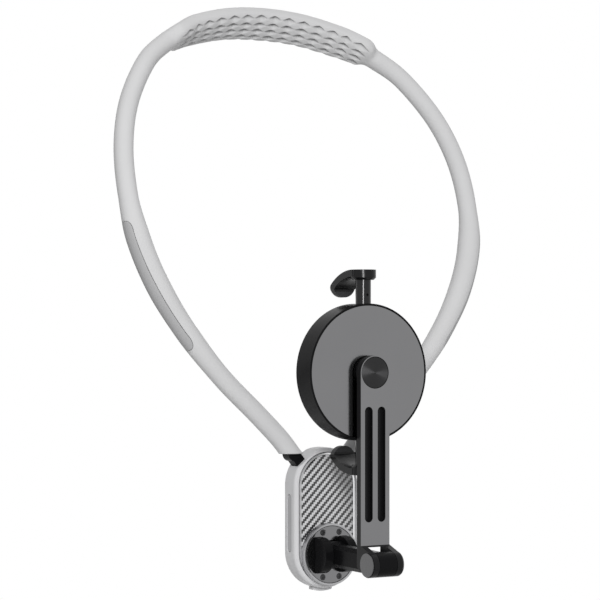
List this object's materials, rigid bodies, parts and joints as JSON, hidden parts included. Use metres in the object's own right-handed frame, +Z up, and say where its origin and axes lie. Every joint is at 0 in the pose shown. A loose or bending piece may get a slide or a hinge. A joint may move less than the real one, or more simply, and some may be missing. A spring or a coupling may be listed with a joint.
{
  "type": "neck phone holder",
  "caption": "Neck ring with a chest pod, a swivel link and arm, and a round magnetic phone disc with two sliding claws.",
  "frame": {"origin": "middle of the nape pad's inner face, where the ring rests on the back of the neck", "axes": "+X to the viewer's right when facing the holder, +Y from the holder's front towards the wearer, +Z up"},
  "size_m": [0.1904, 0.1175, 0.2709],
  "materials": {
    "light_silicone": "satin",
    "inlay_silicone": "matte",
    "spring_steel": "bright",
    "black_plastic": "gloss",
    "light_plastic": "satin",
    "bright_metal": "bright",
    "carbon": "woven, gloss",
    "screw_steel": "bright",
    "grey_aluminium": "anodised",
    "black_metal": "gloss",
    "washer_plastic": "plain",
    "magnet": "plated",
    "dark_silicone": "matte"
  },
  "bodies": {
    "neck_frame": {"neck_sleeve": "light_silicone", "neck_wire": "spring_steel", "left_arm_inlay": "inlay_silicone", "right_arm_inlay": "inlay_silicone", "left_arm_root": "black_plastic", "right_arm_root": "black_plastic", "rear_cover": "light_plastic", "front_frame": "bright_metal", "carbon_plate": "carbon", "cover_screws": "screw_steel", "turntable_ring": "bright_metal"},
    "turntable": {"turntable_plate": "grey_aluminium", "turntable_screws": "screw_steel", "clevis": "black_metal", "turntable_retainer": "screw_steel", "friction_washer": "washer_plastic", "clevis_pin": "screw_steel", "clevis_washers": "washer_plastic"},
    "link": {"swivel_link": "black_metal"},
    "arm": {"arm": "black_metal", "arm_hinge_pin": "grey_aluminium", "pivot_spacer": "black_plastic"},
    "disc": {"disc_spindle": "screw_steel", "pivot_cap": "grey_aluminium", "disc_housing": "black_plastic", "disc_face": "grey_aluminium", "magnet_ring": "magnet", "magnet_backing": "screw_steel", "phone_pad": "dark_silicone"},
    "upper_claw": {"upper_claw": "black_plastic", "upper_post": "black_metal", "upper_lip_tip": "dark_silicone"},
    "lower_claw": {"lower_claw": "black_plastic", "lower_post": "black_metal", "lower_lip_tip": "dark_silicone"},
    "left_side_button": {"left_side_button": "light_plastic", "left_button_spring": "spring_steel"},
    "right_side_button": {"right_side_button": "light_plastic", "right_button_spring": "spring_steel"},
    "release_button": {"release_button": "light_plastic", "release_spring": "spring_steel"}
  },
  "joints": [
    {"name": "turntable_spin", "type": "hinge", "parent": "neck_frame", "child": "turntable", "pos_m": [0, -0.05973, -0.24346], "axis": [0, 1, 0], "continuous": true},
    {"name": "link_tilt", "type": "hinge", "parent": "turntable", "child": "link", "pos_m": [0, -0.06123, -0.24346], "axis": [1, 0, 0], "range_deg": [-6, 45]},
    {"name": "arm_fold", "type": "hinge", "parent": "link", "child": "arm", "pos_m": [0, -0.10173, -0.24416], "axis": [1, 0, 0], "range_deg": [-5, 150]},
    {"name": "disc_spin", "type": "hinge", "parent": "arm", "child": "disc", "pos_m": [0, -0.09628, -0.16096], "axis": [0, 1, 0], "continuous": true},
    {"name": "upper_claw_slide", "type": "slide", "parent": "disc", "child": "upper_claw", "axis": [0, 0, 1], "range_m": [-0.009, 0.006]},
    {"name": "lower_claw_slide", "type": "slide", "parent": "disc", "child": "lower_claw", "axis": [0, 0, -1], "range_m": [-0.009, 0.006]},
    {"name": "left_side_press", "type": "slide", "parent": "neck_frame", "child": "left_side_button", "axis": [1, 0, 0], "range_m": [0, 0.001], "stiffness_N_per_m": 900, "springref_m": -0.0006, "deforming": ["left_button_spring"]},
    {"name": "right_side_press", "type": "slide", "parent": "neck_frame", "child": "right_side_button", "axis": [-1, 0, 0], "range_m": [0, 0.001], "stiffness_N_per_m": 900, "springref_m": -0.0006, "deforming": ["right_button_spring"]},
    {"name": "release_press", "type": "slide", "parent": "neck_frame", "child": "release_button", "axis": [0, 0, 1], "range_m": [0, 0.0012], "stiffness_N_per_m": 900, "springref_m": -0.0006, "deforming": ["release_spring"]}
  ]
}
